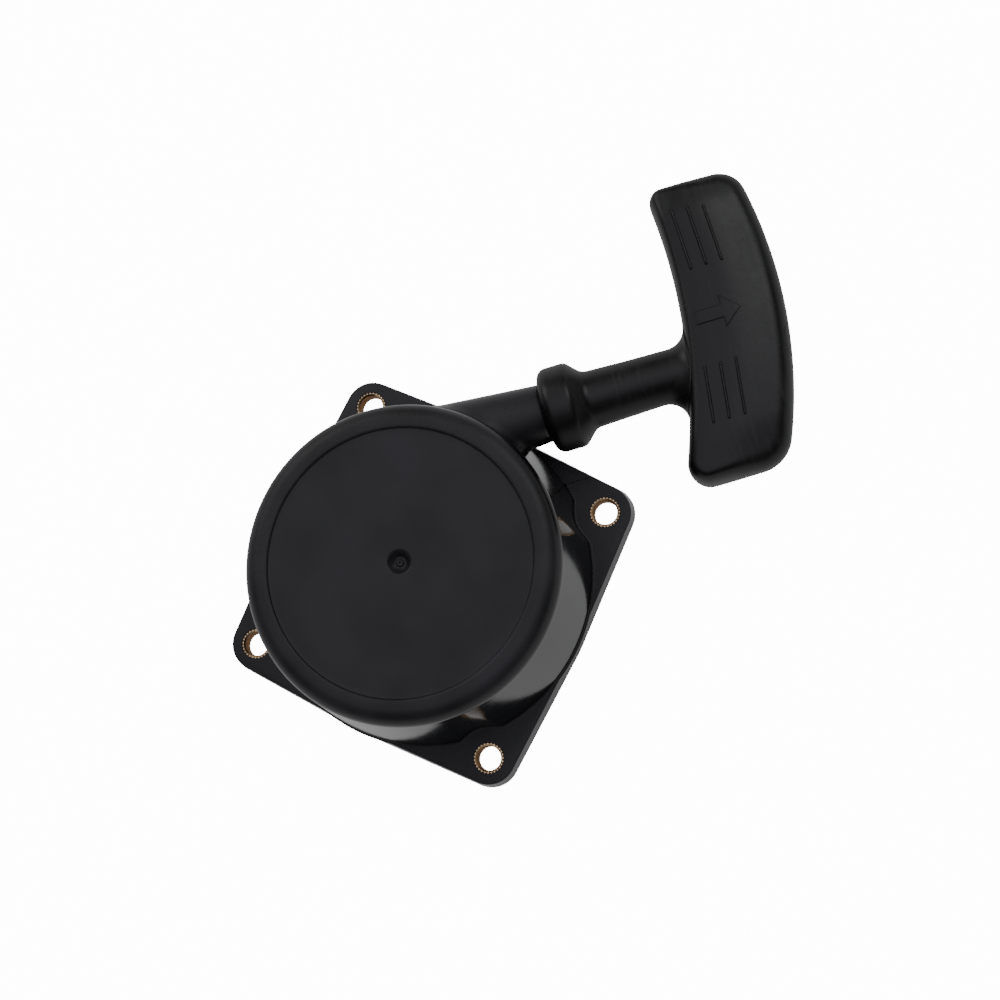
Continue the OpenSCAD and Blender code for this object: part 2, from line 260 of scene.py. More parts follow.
def dress(piece, body, material, slot, *replaced):
    """Gives a piece its finish, hangs it on its body and hides the node it stands for."""
    piece.data.materials.clear()
    piece.data.materials.append(material)
    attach(piece, body)
    if replaced:
        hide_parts(*replaced)
    print(piece.name, "has", len(piece.data.polygons), "faces")


def arc(centre, radius, start, end, steps):
    """Points of an arc, with its angles in degrees."""
    return [(centre[0] + radius * math.cos(math.radians(start + (end - start) * i / steps)),
             centre[1] + radius * math.sin(math.radians(start + (end - start) * i / steps)))
            for i in range(steps + 1)]


# %% [markdown]
# Moulded black plastic is never one flat colour. Flow marks make slow changes in gloss, the
# tool's texture makes a fine grain, and handling leaves small scuffs. Noise at three scales
# drives roughness and bump. Faces that look up were textured in the tool, and the walls were
# polished so that the part would draw out, so the surface normal tells the two apart. On the
# housing, faces that look up are also painted paler in patches, which is painted light on its
# top. The handle also has faint drag marks along its bar, from hands and from the mould.


# %% Plastic finishes
def noise(n, links, where, scale, detail=3.0, stretch=None):
    texture = n.new("ShaderNodeTexNoise")
    texture.inputs["Scale"].default_value = scale
    texture.inputs["Detail"].default_value = detail
    if stretch:
        mapping = n.new("ShaderNodeMapping")
        mapping.inputs["Scale"].default_value = stretch
        links.new(where, mapping.inputs[0])
        where = mapping.outputs[0]
    links.new(where, texture.inputs["Vector"])
    return texture.outputs["Fac"]


def spread(n, links, value, low, high, start=0.3, end=0.7):
    """Maps a value between start and end to the range low to high."""
    step = n.new("ShaderNodeMapRange")
    for socket, number in (("From Min", start), ("From Max", end), ("To Min", low), ("To Max", high)):
        step.inputs[socket].default_value = number
    links.new(value, step.inputs["Value"])
    return step.outputs[0]


def joined(n, links, a, b, operation="ADD"):
    step = n.new("ShaderNodeMath")
    step.operation = operation
    links.new(a, step.inputs[0])
    if isinstance(b, (int, float)):
        step.inputs[1].default_value = b
    else:
        links.new(b, step.inputs[1])
    return step.outputs[0]


def tint(n, links, value, dark, light):
    """A colour that runs from dark to light as value runs from 0 to 1."""
    step = n.new("ShaderNodeMix")
    step.data_type = "RGBA"
    links.new(value, step.inputs[0])
    step.inputs[6].default_value = (*dark, 1)
    step.inputs[7].default_value = (*light, 1)
    return step.outputs[2]


def grain(n, links, skin, heights, strength, depth):
    """Adds the heights and raises them as bump of a real depth in metres."""
    total = heights[0]
    for more in heights[1:]:
        total = joined(n, links, total, more)
    bump = n.new("ShaderNodeBump")
    bump.inputs["Strength"].default_value = strength
    bump.inputs["Distance"].default_value = depth
    links.new(total, bump.inputs["Height"])
    links.new(bump.outputs[0], skin.inputs["Normal"])


def moulded(name, dark, light, gloss, dull, polished_sides_lit_top=False, scuffed=False):
    material, n, links = new_material(name)
    skin = n["Principled BSDF"]
    coordinates = n.new("ShaderNodeTexCoord")
    where = coordinates.outputs["Object"]
    flow = noise(n, links, where, 55, 2)
    mottle = noise(n, links, where, 420, 4)
    fine = noise(n, links, where, 2600, 2)
    cloud = joined(n, links, joined(n, links, flow, mottle), 0.5, "MULTIPLY")
    colour = tint(n, links, spread(n, links, cloud, 0, 1, 0.38, 0.62), dark, light)
    rough = joined(n, links, spread(n, links, flow, gloss, gloss + 0.05), spread(n, links, mottle, 0, 0.04))
    heights = [joined(n, links, flow, 0.3, "MULTIPLY"), joined(n, links, fine, 0.12, "MULTIPLY")]
    if polished_sides_lit_top:
        split = n.new("ShaderNodeSeparateXYZ")
        links.new(coordinates.outputs["Normal"], split.inputs[0])
        flat = spread(n, links, split.outputs["Z"], 0, 1, 0.35, 0.9)
        rough = joined(n, links, rough, joined(n, links, flat, dull - gloss, "MULTIPLY"))
        # Painted light: faces that look up are painted paler, in patches that follow the flow noise.
        pale = n.new("ShaderNodeMix")
        pale.data_type = "RGBA"
        pale.inputs[7].default_value = (*[2.6 * c for c in light], 1)
        patchy_top_light = joined(n, links, flat, spread(n, links, flow, 0.15, 0.95, 0.35, 0.65), "MULTIPLY")
        links.new(patchy_top_light, pale.inputs[0])
        links.new(colour, pale.inputs[6])
        colour = pale.outputs[2]
        heights.append(joined(n, links, joined(n, links, mottle, flat, "MULTIPLY"), 0.6, "MULTIPLY"))
        heights.append(joined(n, links, joined(n, links, fine, flat, "MULTIPLY"), 0.3, "MULTIPLY"))
    if scuffed:
        turn = n.new("ShaderNodeMapping")
        turn.inputs["Rotation"].default_value = (0, 0, -math.atan2(pull.y, pull.x))
        links.new(where, turn.inputs[0])
        drag = noise(n, links, turn.outputs[0], 900, 3, (1, 0.05, 0.6))
        rubbed = joined(n, links, spread(n, links, drag, 0, 1, 0.5, 0.78),
                        spread(n, links, flow, 0, 1, 0.42, 0.7), "MULTIPLY")
        lighter = n.new("ShaderNodeMix")
        lighter.data_type = "RGBA"
        lighter.inputs[7].default_value = (0.028, 0.028, 0.03, 1)
        links.new(rubbed, lighter.inputs[0])
        links.new(colour, lighter.inputs[6])
        colour = lighter.outputs[2]
        rough = joined(n, links, rough, joined(n, links, rubbed, 0.12, "MULTIPLY"))
        heights.append(joined(n, links, drag, 0.3, "MULTIPLY"))
    links.new(colour, skin.inputs["Base Color"])
    links.new(rough, skin.inputs["Roughness"])
    skin.inputs["IOR"].default_value = 1.48
    grain(n, links, skin, heights, 0.3, 0.00005)
    return material


cup_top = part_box("housing")[1].z
housing_plastic = moulded("housing_plastic", (0.0042, 0.0041, 0.005), (0.0085, 0.0083, 0.01),
                          0.09, 0.46, polished_sides_lit_top=True)
handle_plastic = moulded("handle_plastic", (0.0018, 0.0018, 0.0019), (0.0038, 0.0038, 0.0039),
                         0.36, 0.36, scuffed=True)
reel_plastic = moulded("reel_plastic", (0.05, 0.052, 0.055), (0.085, 0.088, 0.092), 0.42, 0.42)


# %% [markdown]
# Metals differ by how they were made. Brass inserts are turned and tarnish to a warm tan,
# zinc plate is pale with faint cloudy patches, blued spring steel is dark and oily, and
# sintered pawls are grey and grainy. One recipe covers them all with different numbers.


# %% Metal and rope finishes
def metal(name, dark, light, gloss, grain_scale=900, depth=0.00004, lines=None):
    material, n, links = new_material(name)
    skin = n["Principled BSDF"]
    where = n.new("ShaderNodeTexCoord").outputs["Object"]
    cloud = noise(n, links, where, 160, 3)
    fine = noise(n, links, where, grain_scale, 4, lines)
    both = joined(n, links, joined(n, links, cloud, fine), 0.5, "MULTIPLY")
    links.new(tint(n, links, spread(n, links, both, 0, 1, 0.38, 0.62), dark, light), skin.inputs["Base Color"])
    links.new(spread(n, links, both, gloss + 0.12, gloss - 0.04), skin.inputs["Roughness"])
    skin.inputs["Metallic"].default_value = 1
    grain(n, links, skin, [fine], 0.3, depth)
    return material


insert_brass = metal("insert_brass", (0.6, 0.4, 0.21), (0.86, 0.65, 0.4), 0.24, 1500, 0.00004)
# The brass inside the bores is painted darker than the face brass: painted shade in the hole.
bore_brass_painted_shade = metal("bore_brass_painted_shade", (0.3, 0.17, 0.085), (0.5, 0.31, 0.17), 0.5, 1500, 0.00005)
bearing_bronze = metal("bearing_bronze", (0.36, 0.2, 0.09), (0.6, 0.38, 0.18), 0.36)
zinc_plate = metal("zinc_plate", (0.42, 0.43, 0.42), (0.68, 0.69, 0.68), 0.3)
bright_steel = metal("bright_steel", (0.4, 0.41, 0.42), (0.66, 0.67, 0.68), 0.24, 1600)
blued_spring = metal("blued_spring", (0.1, 0.12, 0.16), (0.24, 0.27, 0.32), 0.26, 700, 0.00003, (1, 1, 8))
pawl_steel = metal("pawl_steel", (0.16, 0.16, 0.165), (0.34, 0.34, 0.345), 0.4, 2600, 0.00006)


def braided(name, across):
    """Braid of a thin rope: strands cross it in both hands and leave a raised diamond each, with painted shade
    between them.
    """
    material, n, links = new_material(name)
    skin = n["Principled BSDF"]
    where = n.new("ShaderNodeTexCoord").outputs["Object"]
    split = n.new("ShaderNodeSeparateXYZ")
    links.new(where, split.inputs[0])
    turn = n.new("ShaderNodeMapping")
    turn.inputs["Rotation"].default_value = (0, 0, -math.atan2(pull.y, pull.x))
    links.new(where, turn.inputs[0])
    strands = []
    for hand in (-1, 1):
        lean = n.new("ShaderNodeMapping")
        lean.inputs["Rotation"].default_value = (0, 0, hand * math.radians(42))
        links.new(turn.outputs[0], lean.inputs[0])
        wave = n.new("ShaderNodeTexWave")
        wave.inputs["Scale"].default_value = 1 / (across * 2.2)
        wave.inputs["Distortion"].default_value = 0.4
        links.new(lean.outputs[0], wave.inputs["Vector"])
        strands.append(wave.outputs["Fac"])
    weave = joined(n, links, *strands, "MULTIPLY")
    fibre = noise(n, links, where, 3500, 3)
    # Painted shade: the colour is darker between the strands and paler on the raised diamonds.
    links.new(tint(n, links, weave, (0.006, 0.006, 0.007), (0.035, 0.035, 0.038)), skin.inputs["Base Color"])
    links.new(spread(n, links, fibre, 0.6, 0.85), skin.inputs["Roughness"])
    skin.inputs["Sheen Weight"].default_value = 0.3
    grain(n, links, skin, [weave, joined(n, links, fibre, 0.3, "MULTIPLY")], 0.8, 0.0003)
    return material


rope_braid = braided("rope_braid", 0.0011)

# %% [markdown]
# The housing is one moulding: a drafted cup on a square flange. Turning a profile gives the
# cup, but the flange is square and the wall has a hollow beside each screw. So the profile is
# turned with a radius that depends on the angle too. Each hollow is blended into the wall with
# a soft minimum, which gives the rounded edge that a mould leaves, with no cutting. The side
# of the flange leans in by a little as it rises, which lets the part leave its mould.

# %% Housing outline by angle
hole_pitch = 66.0
hole_reach = hole_pitch / math.sqrt(2)
corner_r, flange_r, flange_t = 6.95, 41.4, 4.5
hollow_r = 7.7
wall_low, wall_high = 40.9, 38.15
cup_h = cup_top / MM
rim_r = 4.2
disc_z = cup_h - 0.6
rim_z = cup_h - rim_r


def off_corner(yaw):
    """Angle from the nearest flange corner, which are at 45 degrees and every 90 on."""
    return (yaw - math.pi / 4 + math.pi / 4) % (math.pi / 2) - math.pi / 4


def flange_reach(yaw):
    """Distance from the axis to the edge of the flange, square with rounded corners."""
    a = abs(off_corner(yaw))
    lean = math.acos((flange_r - corner_r) / hole_reach)
    tip = math.atan2(corner_r * math.sin(lean), hole_reach + corner_r * math.cos(lean))
    if a <= tip:
        return hole_reach * math.cos(a) + math.sqrt(corner_r ** 2 - (hole_reach * math.sin(a)) ** 2)
    return flange_r / math.cos(a - lean) if a < lean else flange_r


def soft_min(a, b, k):
    h = min(max(0.5 + 0.5 * (b - a) / k, 0), 1)
    return b + (a - b) * h - k * h * (1 - h)


def wall_reach(yaw, z):
    """Distance from the axis to the wall, with its screw hollows."""
    plain = wall_high + (wall_low - wall_high) * (rim_z - z) / (rim_z - flange_t)
    a = off_corner(yaw)
    side = hollow_r ** 2 - (hole_reach * math.sin(a)) ** 2
    if side <= 0 or z > rim_z:
        return plain
    return soft_min(plain, hole_reach * math.cos(a) - math.sqrt(side), 1.8)


fine_turns = [math.radians(a) for quarter in range(4) for a in
              [90 * quarter + 45 + t for t in
               [*np.arange(-45, -12, 1.5), *np.arange(-12, 12, 0.5), *np.arange(12, 45, 1.5)]]]
print("housing is turned in", len(fine_turns), "steps")

# %% [markdown]
# The rings of the profile run from the gate mark at the middle of the top disc, over the rim,
# down the wall, round the flange and up the inside to the centre post. Each ring is a small
# function of the angle, so that one loop can place them all.


# %% Housing shell
def fixed(radius, z):
    return lambda yaw: (radius, z)


def on_wall(z, proud=0.0):
    return lambda yaw: (wall_reach(yaw, z) + proud, z)


def on_flange(share, z, inset):
    """A ring on the flange, a share of the way from the foot of the wall to the edge."""
    def place(yaw):
        start = wall_reach(yaw, flange_t) + foot
        return start + (flange_reach(yaw) - inset - start) * share, z
    return place


foot, edge, draft = 0.5, 0.35, 0.6


def housing_rings():
    rings = [fixed(r, disc_z + z) for r, z in (
        (0.22, -1.5), (0.3, -1.1), (0.7, -1.02), (0.85, -1.1), (1.0, -1.32), (1.35, -1.34),
        (2.0, -0.95), (2.5, -0.45), (2.8, -0.13), (3.05, -0.02), (3.4, 0), (9, 0), (17, 0),
        (25, 0), (30.6, 0), (31.5, 0.0), (31.78, 0.05), (31.9, 0.25), (32.0, 0.4), (32.2, 0.52), (32.5, 0.58),
        (32.8, 0.6), (33.4, 0.6))]
    rings += [fixed(wall_high - rim_r + rim_r * math.sin(math.radians(a)),
                    rim_z + rim_r * math.cos(math.radians(a))) for a in range(6, 87, 8)]
    rings += [on_wall(z) for z in np.linspace(rim_z - 0.4, flange_t + 0.8, 24)]
    rings += [on_wall(flange_t + foot * (1 - math.sin(math.radians(a))),
                      foot * (1 - math.cos(math.radians(a)))) for a in (15, 35, 55, 75)]
    rings += [on_flange(s, flange_t, edge + draft) for s in (0.02, 0.35, 0.7, 1)]
    rings += [on_flange(1, flange_t - edge * (1 - math.cos(math.radians(a))),
                        draft + edge * (1 - math.sin(math.radians(a)))) for a in (22, 45, 68, 86)]
    rings += [on_flange(1, flange_t - edge - 0.1, draft - 0.01), on_flange(1, 0.45, 0.01)]
    rings += [on_flange(1, 0.35, 0), on_flange(1, 0.1, 0.1), on_flange(1, 0, 0.35)]
    rings += [fixed(r, z) for r, z in (
        (36.6, 0), (36.38, 0.08), (36.3, 0.3), (36.05, 12), (35.75, 25), (35.62, 30.1),
        (35.3, 30.9), (34.5, 31.3), (32.7, 31.3), (32.4, 31.0), (32.4, 25.45), (32.15, 25.2),
        (31.45, 25.2), (31.2, 25.45), (31.2, 31.0), (30.9, 31.3), (8.6, 31.3), (8.4, 31.1),
        (8.4, 30.95), (8.25, 30.8), (5.75, 30.8), (5.5, 30.55), (5.5, 6.6), (5.2, 6.3),
        (4.2, 6.3), (4.0, 6.5), (4.0, 19.5), (3.7, 19.8), (0.3, 19.8))]
    return rings


def shell_of(rings):
    points, faces = lofted([[(r * math.cos(yaw), r * math.sin(yaw), z)
                             for yaw in fine_turns for r, z in [ring(yaw)]] for ring in rings])
    return piece_of("housing_shell", points, faces)


housing = shell_of(housing_rings())
print("shell has", len(housing.data.polygons), "faces")

# %% [markdown]
# The rope tube leaves the cup along the rope axis, with a web under it. It could be joined
# with a hard seam, but a moulding has a fillet there. So the tube swells a little as it nears
# the wall, and then it is joined. The holes are cut last: the rope's way, the three screw
# bosses and the four brass inserts.

# %% Rope tube and its web
tube_start, tube_end = 12.0, 41.0
tube_foot_r, tube_end_r = 9.0, 7.0
pad_lift, web_half = 0.45, 2.2
boss_ring, pilot_r = 33.7, 1.1
boss_profile = [(25.63, 2.73), (25.78, 2.88), (31.77, 2.88)]


def tube_r(u):
    return tube_foot_r + (tube_end_r - tube_foot_r) * (u - 17) / (tube_end - 17)


def swelled(points, reach=1.8):
    """Moves points near the wall away from the rope axis, as a fillet does."""
    out = []
    for u, v, w in points:
        p = along_rope @ Vector((u, v, w))
        z = min(max(p.z, flange_t), rim_z)
        gap = math.hypot(p.x, p.y) - wall_reach(math.atan2(p.y, p.x), z)
        push = max(reach - abs(gap), 0) ** 2 / (4 * reach)
        radius = math.hypot(v, w)
        grow = 1 + push / radius if radius > 1 else 1
        out.append((u, v * grow, w * grow))
    return out


def rope_tube():
    body = [(u, tube_r(u)) for u in np.linspace(tube_start, tube_end - 0.9, 60)]
    lip = [(tube_end - 0.9 + 0.9 * math.sin(math.radians(a)),
            tube_r(tube_end) - 0.9 * (1 - math.cos(math.radians(a)))) for a in (30, 60, 90)]
    points, faces = turned(body + lip, 120)
    return piece_of("tube", placed(swelled(points), along_rope), faces)


def web_under_tube():
    side = [(20, 1.1 - rope_z), (28.9, 1.1 - rope_z), (33.6, 8.7 - rope_z), (38, 13.2 - rope_z),
            (38, -3), (20, -3)]
    points, faces = lofted([[(u, v, w) for u, w in side] for v in (-web_half, web_half)])
    web = piece_of("web", placed(points, along_rope), faces)
    rounding = web.modifiers.new("rounding", "BEVEL")
    rounding.width = 0.7 * MM
    rounding.segments = 3
    apply_modifiers(web)
    return web


def upright(name, x, y, profile, steps=64):
    """A turned solid that stands on a point, from a profile of [height, radius]."""
    points, faces = turned(profile, steps)
    stand = Matrix.Translation((x, y, 0)) @ Matrix(((0, 0, 1, 0), (0, 1, 0, 0), (1, 0, 0, 0), (0, 0, 0, 1)))
    return piece_of(name, placed(points, stand), faces)


corners = [(hole_pitch / 2 * x, hole_pitch / 2 * y) for x, y in ((1, 1), (-1, 1), (-1, -1), (1, -1))]
boss_places = [(boss_ring * math.cos(math.radians(a)), boss_ring * math.sin(math.radians(a)))
               for a in (75, 195, 315)]


def pad_under_tube():
    """The flange is half a millimetre thicker beside the tube, up to a line along the rope."""
    low, high = flange_t - 0.3, flange_t + pad_lift
    rings = [[(r * math.cos(yaw), r * math.sin(yaw), z) for yaw in fine_turns
              for r in [38.5 if inner else flange_reach(yaw + 0.003) - edge - draft - 0.21]]
             for inner, z in ((True, low), (False, low), (False, high - 0.1), (True, high))]
    pad = piece_of("pad", *lofted(rings, wrap=True))
    ends = [[(u, v, w - rope_z) for u, v in ((12, -14.8), (60, -14.8), (60, 13), (12, 13))]
            for w in (low - 1, high + 1)]
    points, faces = lofted(ends)
    cut_or_join(pad, piece_of("pad_limit", placed(points, along_rope), faces), "INTERSECT")
    return pad


cut_or_join(housing, pad_under_tube(), "UNION")
tube = rope_tube()
cut_or_join(tube, web_under_tube(), "UNION")
cut_or_join(tube, upright("cup_space", 0, 0, [(-5, 37.2), (34, 36.6)], 128), "DIFFERENCE")
cut_or_join(housing, tube, "UNION")
for x, y in boss_places:
    cut_or_join(housing, upright("boss", x, y, boss_profile, 37), "UNION")
    cut_or_join(housing, upright("pilot", x, y, [(24, pilot_r), (30.8, pilot_r)], 24), "DIFFERENCE")
for x, y in corners:
    cut_or_join(housing, upright("seat", x, y, [(-1, 3.86), (0.15, 3.86), (0.16, 3.5), (flange_t - 0.2, 3.5),
                                                (flange_t - 0.19, 3.86), (flange_t + 1, 3.86)]), "DIFFERENCE")
way_points, way_faces = turned([(8, 4.6), (27, 4.2), (29, 3.6), (tube_end + 1, 3.6)], 64)
cut_or_join(housing, piece_of("rope_way", placed(way_points, along_rope), way_faces), "DIFFERENCE")
shade(housing, 32)
dress(housing, "housing", housing_plastic, "black_moulding", "housing")

# %% [markdown]
# The brass inserts are knurled sleeves. The knurl grips the plastic, and only its teeth show
# round the face. A star-shaped section turned upright gives the teeth, and the bore is left
# with fine turning rings, as a cutter leaves them. The bore's brass is painted darker than
# the face, which is painted shade inside the hole.

# %% Knurled inserts
insert_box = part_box("insert_1")
insert_r = (insert_box[1].x - insert_box[0].x) / 2 / MM
insert_h = insert_box[1].z / MM
bore_r = 2.925
tooth_count = 27


def knurled_insert(name, x, y):
    per_tooth = 6
    steps = tooth_count * per_tooth
    bite = [0.0, 0.06, 0.25, 0.34, 0.25, 0.06]
    rings = [(insert_r, 0.0, 1), (insert_r, 0.18, 1), (insert_r, insert_h - 0.18, 1),
             (insert_r - 0.1, insert_h, 1), (bore_r + 0.45, insert_h, 0),
             (bore_r + 0.12, insert_h - 0.3, 0), (bore_r, insert_h - 0.42, 0)]
    rings += [(bore_r + (0.05 if i % 2 else 0), insert_h - 0.55 - 0.16 * i, 0) for i in range(22)]
    rings += [(bore_r + 0.05, 0.3, 0), (bore_r + 0.4, 0.0, 0)]
    turns = [2 * math.pi * k / steps for k in range(steps)]
    solid = lofted([[(x + (r - bite[k % per_tooth] * toothed) * math.cos(a),
                      y + (r - bite[k % per_tooth] * toothed) * math.sin(a), z)
                     for k, a in enumerate(turns)] for r, z, toothed in rings], wrap=True)
    return piece_of(name, *solid)


for number, (x, y) in enumerate(corners, 1):
    sleeve = knurled_insert(f"brass_insert_{number}", x, y)
    shade(sleeve, 30)
    dress(sleeve, "housing", insert_brass, "brass", f"insert_{number}")
    # Faces inside the bore take the darker brass, which is painted shade.
    sleeve.data.materials.append(bore_brass_painted_shade)
    for face in sleeve.data.polygons:
        out = (face.center.xy / MM - Vector((x, y))).length
        face.material_index = 1 if out < bore_r + 0.2 and face.center.z < insert_box[1].z - 0.3 * MM else 0

# %% [markdown]
# The handle is a single moulding: a collar that cups the tube, a round stem and a curved bar
# that is longer on one side. Its bar is drawn as two mould halves. The outline is drawn flat
# from tangent arcs, it is filled with triangles, and each point is raised by how far it is
# from the outline. That gives a round edge and a crowned face that falls away to the outer
# side, where the fingers close. The stem is lofted, and it swells into the bar as an ellipse,
# because the fillet is wide along the bar and narrow across it.

# %% Grip outline
in_c, in_r = (-65.7, 26.2), 143.9
out_c, out_r = (-10.3, 18.1), 112.7
grip_long, grip_short = 44.4, 28.4
stem_r, root_r, root_fillet = 6.95, 6.35, 5.0


def inside_arc(v, extra):
    """Centre of a round at height v that touches the inner arc from its outer side."""
    return in_c[0] + math.sqrt((in_r + extra) ** 2 - (v - in_c[1]) ** 2), v


def outside_arc(v, r):
    return out_c[0] + math.sqrt((out_r - r) ** 2 - (v - out_c[1]) ** 2), v


def heading(a, b):
    return math.degrees(math.atan2(b[1] - a[1], b[0] - a[0]))


def evenly(ring, step):
    """A closed line with its repeated points left out and its long sides split."""
    ring = [p for i, p in enumerate(ring) if math.dist(p, ring[i - 1]) > 0.02]
    out = []
    for p, q in zip(ring, ring[1:] + ring[:1]):
        parts = max(1, math.ceil(math.dist(p, q) / step))
        out += [(p[0] + (q[0] - p[0]) * i / parts, p[1] + (q[1] - p[1]) * i / parts) for i in range(parts)]
    return out


def bar_outline():
    c1, c2 = outside_arc(grip_long - 6.6, 6.6), inside_arc(grip_long - 3.6, 3.6)
    c3, c4 = inside_arc(5 - grip_short, 5), outside_arc(9 - grip_short, 9)
    return evenly(arc(out_c, out_r, heading(out_c, c4), heading(out_c, c1), 90)
                  + arc(c1, 6.6, heading(out_c, c1), 90, 14) + arc(c2, 3.6, 90, 180 + heading(in_c, c2), 12)
                  + arc(in_c, in_r, heading(in_c, c2), heading(in_c, c3), 90)
                  + arc(c3, 5, 180 + heading(in_c, c3), 270, 12)
                  + arc(c4, 9, 270, 360 + heading(out_c, c4), 14), 0.8)


outline = np.array(bar_outline())
print("grip outline has", len(outline), "points")

# %% Grip height
grip_half = 7.7


def edge_distance(points):
    a, b = outline, np.roll(outline, -1, 0)
    p = np.array(points, float)[:, None, :]
    d = b - a
    t = np.clip(((p - a) * d).sum(2) / (d * d).sum(1), 0, 1)
    return np.sqrt((((a + t[..., None] * d) - p) ** 2).sum(2)).min(1)


def smooth_step(x, low, high):
    t = np.clip((x - low) / (high - low), 0, 1)
    return t * t * (3 - 2 * t)


def grip_height(points):
    """Height of the bar over its parting plane."""
    p = np.array(points, float)
    d = edge_distance(p)
    from_in = np.hypot(p[:, 0] - in_c[0], p[:, 1] - in_c[1]) - in_r
    from_out = out_r - np.hypot(p[:, 0] - out_c[0], p[:, 1] - out_c[1])
    side = smooth_step(from_in / (from_in + from_out), 0.15, 0.85)
    shoulder = 2.3 + 0.3 * side
    round_edge = (1 - (1 - np.clip(d / (2.4 + 1.6 * side), 0, 1)) ** shoulder) ** (1 / shoulder)
    fall = 2.1 * (1 - smooth_step(from_out, -2, 14)) + 0.3 * (1 - smooth_step(from_in, 0, 6))
    fall += (0.8 * (1 - smooth_step(grip_long - p[:, 1], 0, 9))
             + 1.2 * (1 - smooth_step(p[:, 1] + grip_short, 0, 12)))
    return (grip_half - fall) * round_edge


def inside_outline(points):
    x, y = points[:, 0][:, None], points[:, 1][:, None]
    x1, y1 = outline[:, 0], outline[:, 1]
    x2, y2 = np.roll(x1, -1), np.roll(y1, -1)
    crosses = ((y1 > y) != (y2 > y)) & (x < (x2 - x1) * (y - y1) / (y2 - y1 + 1e-12) + x1)
    return crosses.sum(1) % 2 == 1


# %% Grip bar
def bar_fill():
    """Rings of points inside the outline, closer together near it, and an even fill."""
    tangent = np.roll(outline, -1, 0) - np.roll(outline, 1, 0)
    inward = np.c_[-tangent[:, 1], tangent[:, 0]] / np.linalg.norm(tangent, axis=1)[:, None]
    rings = []
    for step in range(1, 11):
        depth = 6.0 * (1 - math.cos(math.pi / 2 * step / 11))
        moved = outline + inward * depth
        rings.append(moved[edge_distance(moved) > depth * 0.97])
    us, vs = np.meshgrid(np.arange(66, 102, 1.0), np.arange(-grip_short, grip_long, 1.0))
    even = np.c_[us.ravel(), vs.ravel()]
    even = even[inside_outline(even)]
    return np.vstack([*rings, even[edge_distance(even) > 5.6]])


def grip_bar():
    flat = [Vector(p) for p in np.vstack([outline, bar_fill()])]
    edges = [(i, (i + 1) % len(outline)) for i in range(len(outline))]
    flat, _, faces, *_ = delaunay_2d_cdt(flat, edges, [], 1, 1e-5)
    z = grip_height([(p.x, p.y) for p in flat])
    z[:len(outline)] = 0
    n = len(flat)
    both = [(p.x, p.y, h) for p, h in zip(flat, z)] + [(p.x, p.y, -h) for p, h in zip(flat, z)]
    skin = [tuple(f) for f in faces] + [tuple(n + i for i in reversed(f)) for f in faces]
    return piece_of("handle_moulding", placed(both, along_rope), skin)


handle = grip_bar()
print("grip bar has", len(handle.data.polygons), "faces")

# %% Stem and collar
collar_r = 10.4


def stem_radius(u):
    return stem_r + (root_r - stem_r) * min(max((u - 52) / 16, 0), 1)


def stem_and_collar(steps=120):
    profile = [(40.6, 8.2)]
    profile += arc((43.1, collar_r - 2.5), 2.5, 176, 92, 10)
    profile += [(u, collar_r) for u in (43.8, 45, 46.2)]
    profile += arc((46.9, collar_r - 2.4), 2.4, 88, 45, 7)
    profile += arc((52.6, stem_r + 3.0), 3.0, 225, 270, 8)
    profile += [(u, stem_radius(u)) for u in (54, 55.5, 57, 60, 63)]
    turns = [2 * math.pi * k / steps for k in range(steps)]
    rings = [[(u, r * math.cos(a), r * math.sin(a)) for a in turns] for u, r in profile]
    sides = [inside_arc(side * (root_r + root_fillet), -root_fillet)[0] for side in (1, -1)]
    over = inside_arc(0, 0)[0] - 0.9

    def start(a):
        """Where the fillet starts: early beside the stem, and close to the bar above it."""
        share = abs(math.cos(a)) ** 1.3
        return over + (sides[0 if math.cos(a) > 0 else 1] - over) * share

    def reach(a):
        return 1.9 + (root_fillet - 1.9) * abs(math.cos(a)) ** 1.3

    for phi in (0, 12, 24, 36, 48, 58, 68, 77, 86):
        share, run = 1 - math.cos(math.radians(phi)), math.sin(math.radians(phi))
        wide, tall = root_r + root_fillet * share, root_r + 0.55 * share
        rings.append([(start(a) + reach(a) * run, wide * math.cos(a), tall * math.sin(a)) for a in turns])
    for far, wide, tall in ((2.5, 10.6, 6.9), (6, 7, 6.2)):
        rings.append([(start(a) + reach(a) + far, wide * math.cos(a), tall * math.sin(a)) for a in turns])
    return lofted(rings)


stem_points, stem_faces = stem_and_collar()
cut_or_join(handle, piece_of("stem", placed(stem_points, along_rope), stem_faces), "UNION")

# %% [markdown]
# A rope's way runs through the whole handle, and it widens into a pocket for the knot. A cap
# closes the pocket. It is cut from the bar itself before the pocket is, so that it follows the
# bar's round side and leaves only a hairline gap.

# %% Rope's way and knot cap
cap = bpy.data.objects.new("knot_cap", handle.data.copy())
bpy.context.collection.objects.link(cap)
plug, plug_faces = turned([(97, 4.6), (97.2, 4.78), (104, 4.78)], 64)
cut_or_join(cap, piece_of("plug", placed(plug, along_rope), plug_faces), "INTERSECT")
shade(cap, 40)
dress(cap, "handle", handle_plastic, "handle_moulding", "handle_cap")
way, way_faces = turned([(39, 8.1), (40.65, 7.9), (41.2, 7.75), (42.38, 7.1), (42.4, 2.3), (43.6, 2),
                         (88, 2), (88.01, 4.9), (104, 4.9)], 64)
cut_or_join(handle, piece_of("knot_way", placed(way, along_rope), way_faces), "DIFFERENCE")
shade(handle, 40)
dress(handle, "handle", handle_plastic, "handle_moulding", "handle")

# %% [markdown]
# Raised ribs at both ends of the bar stop the fingers slipping, and a plain arrow shows the
# way to pull. Each mark is a flat outline, filled with triangles and laid on the bar's own
# height field, so that it follows the crown. A narrow shoulder rounds its edge.


